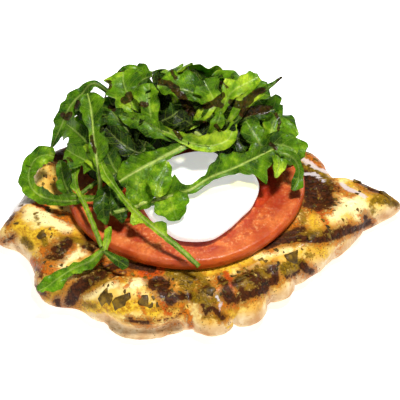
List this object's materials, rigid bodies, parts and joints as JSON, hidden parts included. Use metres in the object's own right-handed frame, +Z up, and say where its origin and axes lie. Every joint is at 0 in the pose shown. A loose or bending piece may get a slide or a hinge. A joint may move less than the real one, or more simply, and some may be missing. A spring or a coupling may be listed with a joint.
{
  "type": "grilled chicken breast with tomato, mozzarella and rocket",
  "caption": "Grilled chicken breast topped with a tomato slice, a mozzarella slice and a loose heap of dressed rocket leaves.",
  "frame": {"origin": "middle of the model's box in plan, on the plane that the chicken breast lies on", "axes": "+Z up, +X along the breast's length to its narrow right end, -Y towards the side with the folded lower layer"},
  "size_m": [0.1638, 0.1302, 0.0613],
  "materials": {
    "chicken_breast": "grilled chicken meat, charred and oily",
    "tomato_slice": "wet cut tomato with its skin round the rim",
    "mozzarella_slice": "moist white cheese",
    "rocket_heap": "thin green leaves"
  },
  "bodies": {
    "root": {"chicken_breast": "chicken_breast", "tomato_slice": "tomato_slice", "mozzarella_slice": "mozzarella_slice", "rocket_heap": "rocket_heap"}
  },
  "joints": []
}
